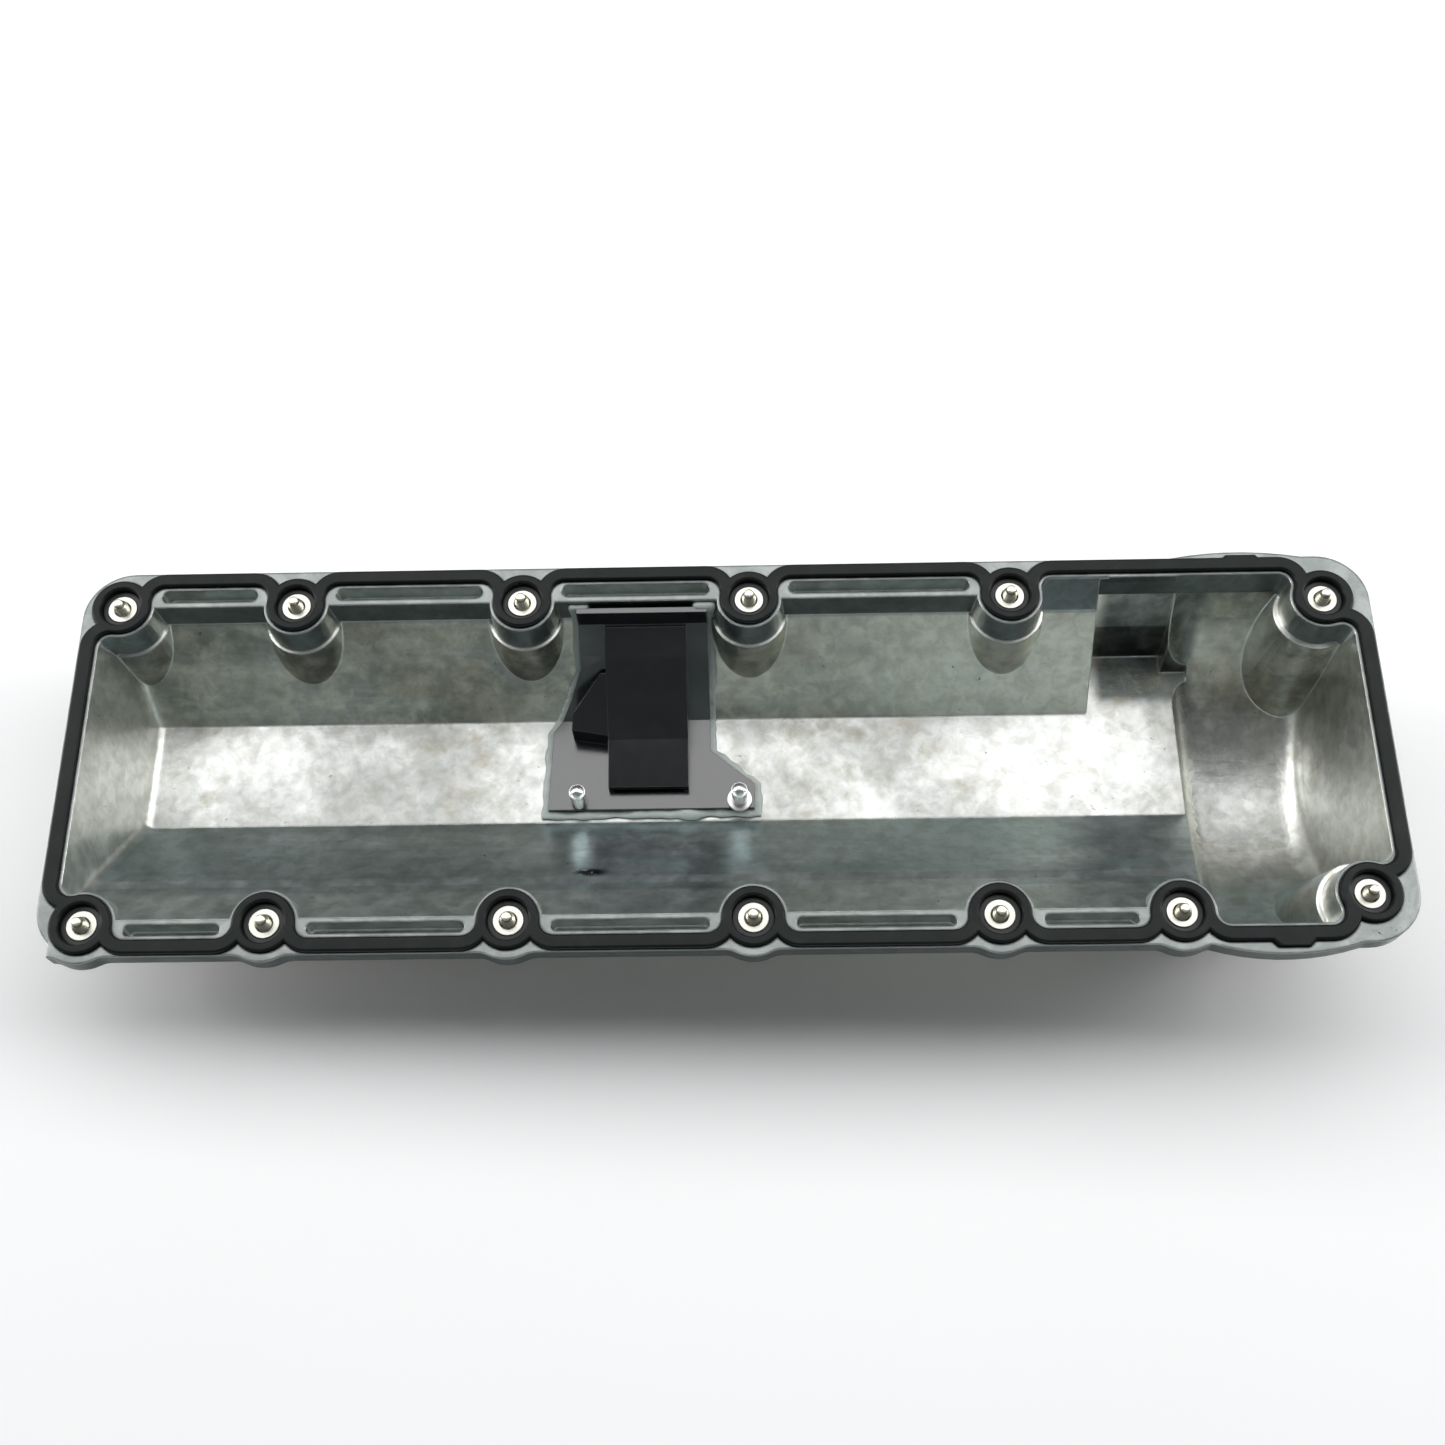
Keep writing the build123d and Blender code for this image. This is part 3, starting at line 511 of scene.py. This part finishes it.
def bolt_mesh(head_end, tip):
    """Hexagon head with a pressed flange, waisted shank, thread and dog point, from head_end up to tip."""
    bm = bmesh.new()
    dog_base = tip - DOG_LENGTH
    thread_low = tip - THREAD_START
    seat = head_end + HEAD_HEIGHT
    shank = [(2.5 * MM, seat - 0.4 * MM), (2.5 * MM, thread_low - 0.2 * MM), (2.45 * MM, thread_low)]
    nose = [(2.3 * MM, dog_base - 0.3 * MM), (1.95 * MM, dog_base + 0.05 * MM), (1.9 * MM, tip - 0.7 * MM),
            (1.78 * MM, tip - 0.35 * MM), (1.45 * MM, tip - 0.1 * MM), (0.9 * MM, tip - 0.02 * MM),
            (0.01 * MM, tip)]
    thread = thread_rings(bm, thread_low, dog_base - 0.35 * MM)
    join_rings(bm, lathe_rings(bm, shank) + thread + lathe_rings(bm, nose))
    flange = [(0.5 * MM, seat - 1.8 * MM), (5.2 * MM, seat - 1.7 * MM), (6.2 * MM, seat - 1.35 * MM),
              (6.6 * MM, seat - 0.9 * MM), (6.6 * MM, seat - 0.25 * MM), (6.3 * MM, seat), (2.4 * MM, seat)]
    join_rings(bm, lathe_rings(bm, flange))
    head = hexagon_rings(bm, seat - 1.2 * MM, head_end)
    join_rings(bm, head)
    bm.faces.new(list(reversed(head[-1])))
    bmesh.ops.recalc_face_normals(bm, faces=bm.faces)
    mesh = bpy.data.meshes.new("bolt")
    bm.to_mesh(mesh)
    bm.free()
    for face in mesh.polygons:
        face.use_smooth = len(face.vertices) == 4 and face.area < 2 * MM * MM
    return mesh


# %% Bolts in their places
first_low, first_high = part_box("bolt_1")
shared_bolt = bolt_mesh(first_low.z, first_high.z)
for number in range(1, BOLT_COUNT + 1):
    low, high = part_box(f"bolt_{number}")
    piece = new_object(f"threaded_bolt_{number}", shared_bolt)
    piece.location = ((low.x + high.x) / 2, (low.y + high.y) / 2, 0)
    piece.rotation_euler = (0, 0, number * TURN_STEP)
    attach(piece, f"bolt_{number}")
    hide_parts(f"bolt_{number}")
print("bolts:", BOLT_COUNT, "faces each:", len(shared_bolt.polygons))

# %% [markdown]
# ## Rubber, plastic and small metal
# The other finishes are simpler: one colour each, with grain, a little wear at the edges and uneven gloss.

# %% Small finishes
SPOTTED = 0.3
EDGE_WIDTH = 0.4 * MM


def plain_finish(name, colour, worn, roughness, metallic, grain_size, grain_depth):
    """One colour with a worn second one in spots and at the edges, and a fine grain."""
    material, tree, shader = new_material(name, Metallic=metallic)
    edges = use(tree, EDGES, Width=EDGE_WIDTH)
    blotch = use(tree, BLOTCHES, Scale=90, Start=0.45, End=0.75, Seed=1.3)
    tone = mix_colour(tree, times(tree, blotch.outputs[0], SPOTTED), (*colour, 1), (*worn, 1))
    tone = mix_colour(tree, times(tree, edges.outputs["Mask"], 0.6), tone, (*worn, 1))
    tree.links.new(tone, shader.inputs["Base Color"])
    uneven_gloss(tree, shader, stretched_noise(tree, 120, detail=5), roughness * 0.75, roughness * 1.3)
    grain = use(tree, GRAIN, Scale=grain_size, Coarse=grain_size / 6)
    bumped(tree, shader, grain.outputs[0], grain_depth, 0.5, edges.outputs["Normal"])
    return material


RUBBER = plain_finish("gasket_rubber", (0.004, 0.006, 0.006), (0.020, 0.024, 0.023), 0.42, 0.0, 2500, 0.00005)
RUBBER.node_tree.nodes["Principled BSDF"].inputs["Specular IOR Level"].default_value = 0.2
GROMMET = plain_finish("grommet_rubber", (0.010, 0.011, 0.011), (0.04, 0.04, 0.04), 0.5, 0.0, 2500, 0.00005)
SLEEVE = plain_finish("zinc_sleeve", (0.56, 0.56, 0.51), (0.40, 0.38, 0.31), 0.34, 1.0, 3000, 0.00002)
BOLT = plain_finish("bolt_zinc", (0.86, 0.84, 0.68), (0.56, 0.50, 0.32), 0.38, 1.0, 3000, 0.00002)
WASHER = plain_finish("washer_zinc", (0.74, 0.73, 0.68), (0.50, 0.46, 0.36), 0.30, 1.0, 3000, 0.00002)
NYLON = plain_finish("baffle_plastic", (0.002, 0.003, 0.004), (0.012, 0.014, 0.016), 0.20, 0.0, 1800, 0.00003)
NYLON.node_tree.nodes["Principled BSDF"].inputs["IOR"].default_value = 1.9
SEALANT = plain_finish("sealant", (0.36, 0.40, 0.38), (0.50, 0.52, 0.48), 0.45, 0.0, 900, 0.0001)
PIN = plain_finish("pin_aluminium", (0.80, 0.80, 0.79), (0.55, 0.55, 0.54), 0.26, 1.0, 2200, 0.00003)
SPIGOT = plain_finish("spigot_steel", (0.62, 0.62, 0.60), (0.40, 0.38, 0.32), 0.32, 1.0, 2500, 0.00003)

for node_name, finish in (("head_gasket", RUBBER), ("bolt_grommets", GROMMET), ("bolt_sleeves", SLEEVE),
                          ("baffle", NYLON), ("baffle_sealant", SEALANT), ("baffle_pins", PIN),
                          ("pin_ring", SPIGOT), ("breather_spigot", SPIGOT)):
    finish_node(node_name, finish)
for number in range(1, BOLT_COUNT + 1):
    finish_node(f"washer_{number}", WASHER)
shared_bolt.materials.append(BOLT)
print("finishes:", [finish.name for finish in bpy.data.materials])

# %% [markdown]
# ## Soft edges and squeezed sealant
# A moulded rubber bead is round on top. Its CAD solid has a flat top, so a bevel rounds both rims of it. The
# sealant is the opposite of a drawn shape: it was squeezed out by hand, so it's remeshed evenly and pushed in
# and out by soft noise, which leaves it thick in some places and thin in others.


# %% Modifiers on the soft parts
def rounded(node_name, width, segments, angle):
    """Round a CAD node's edges sharper than angle, in degrees, without touching its own mesh."""
    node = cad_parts[node_name]
    weld = node.modifiers.new("weld", "WELD")
    weld.merge_threshold = 0.001 * MM
    bevel = node.modifiers.new("round_edges", "BEVEL")
    bevel.width = width
    bevel.segments = segments
    bevel.limit_method = "ANGLE"
    bevel.angle_limit = math.radians(angle)
    bevel.harden_normals = False


rounded("head_gasket", 2.3 * MM, 6, 60)
rounded("bolt_grommets", 0.4 * MM, 2, 60)
rounded("bolt_sleeves", 0.25 * MM, 2, 60)
rounded("baffle", 0.5 * MM, 3, 25)

SEALANT_VOXEL = 0.6 * MM
LUMP_SIZE, LUMP_HEIGHT = 11 * MM, 3.4 * MM
LUMP_LEVEL = 0.35                       # below the middle, so that the sealant swells more than it shrinks
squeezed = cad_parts["baffle_sealant"]
even = squeezed.modifiers.new("even_mesh", "REMESH")
even.mode = "VOXEL"
even.voxel_size = SEALANT_VOXEL
even.use_smooth_shade = True
lumps = bpy.data.textures.new("sealant_lumps", "CLOUDS")
lumps.noise_scale = LUMP_SIZE
push = squeezed.modifiers.new("squeezed_out", "DISPLACE")
push.texture = lumps
push.texture_coords = "LOCAL"
push.strength = LUMP_HEIGHT
push.mid_level = LUMP_LEVEL
relax = squeezed.modifiers.new("surface_tension", "SMOOTH")
relax.iterations = 4
print("rounded the gasket, grommets, sleeves and baffle; sealant lumps in mm:", round(LUMP_HEIGHT / MM, 1))

# %% Floor finish
material, tree, shader = new_material("studio_floor", Roughness=0.85)
pale = mix_colour(tree, stretched_noise(tree, 3, detail=2), (0.93, 0.93, 0.93, 1), (0.96, 0.96, 0.96, 1))
tree.links.new(pale, shader.inputs["Base Color"])
floor.data.materials.append(material)
